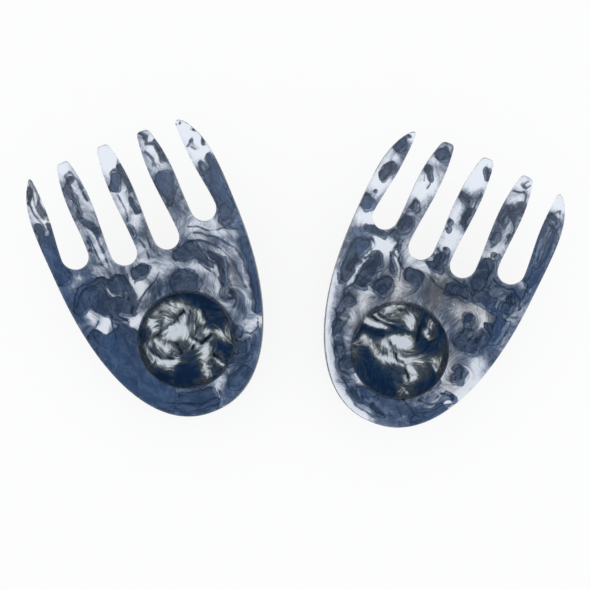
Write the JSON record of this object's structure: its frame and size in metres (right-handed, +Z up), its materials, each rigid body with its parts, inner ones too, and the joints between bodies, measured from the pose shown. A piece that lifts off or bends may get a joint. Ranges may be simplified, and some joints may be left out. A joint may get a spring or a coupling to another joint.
{
  "type": "pair of salad serving hands",
  "caption": "Pair of hand-shaped salad servers in smoky marbled resin: dished palms with long tines, each on a round grip knob bonded to its back.",
  "frame": {"origin": "on the table, at the middle of the pair's outline box", "axes": "+X from the left hand to the right hand, +Y from the heels towards the tips, +Z up"},
  "size_m": [0.3506, 0.2036, 0.0618],
  "materials": {
    "marbled_resin": "polished clear cast resin with swirled smoke and ink-blue pigment",
    "dark_resin": "polished deep ink-blue cast resin with a few pale clouds"
  },
  "bodies": {
    "left_hand": {"left_plate": "marbled_resin", "left_knob": "dark_resin"},
    "right_hand": {"right_plate": "marbled_resin", "right_knob": "dark_resin"}
  },
  "joints": [
    {"name": "right_hand_lift", "type": "slide", "parent": "left_hand", "child": "right_hand", "axis": [0, 0, 1], "range_m": [0, 0.15]}
  ]
}
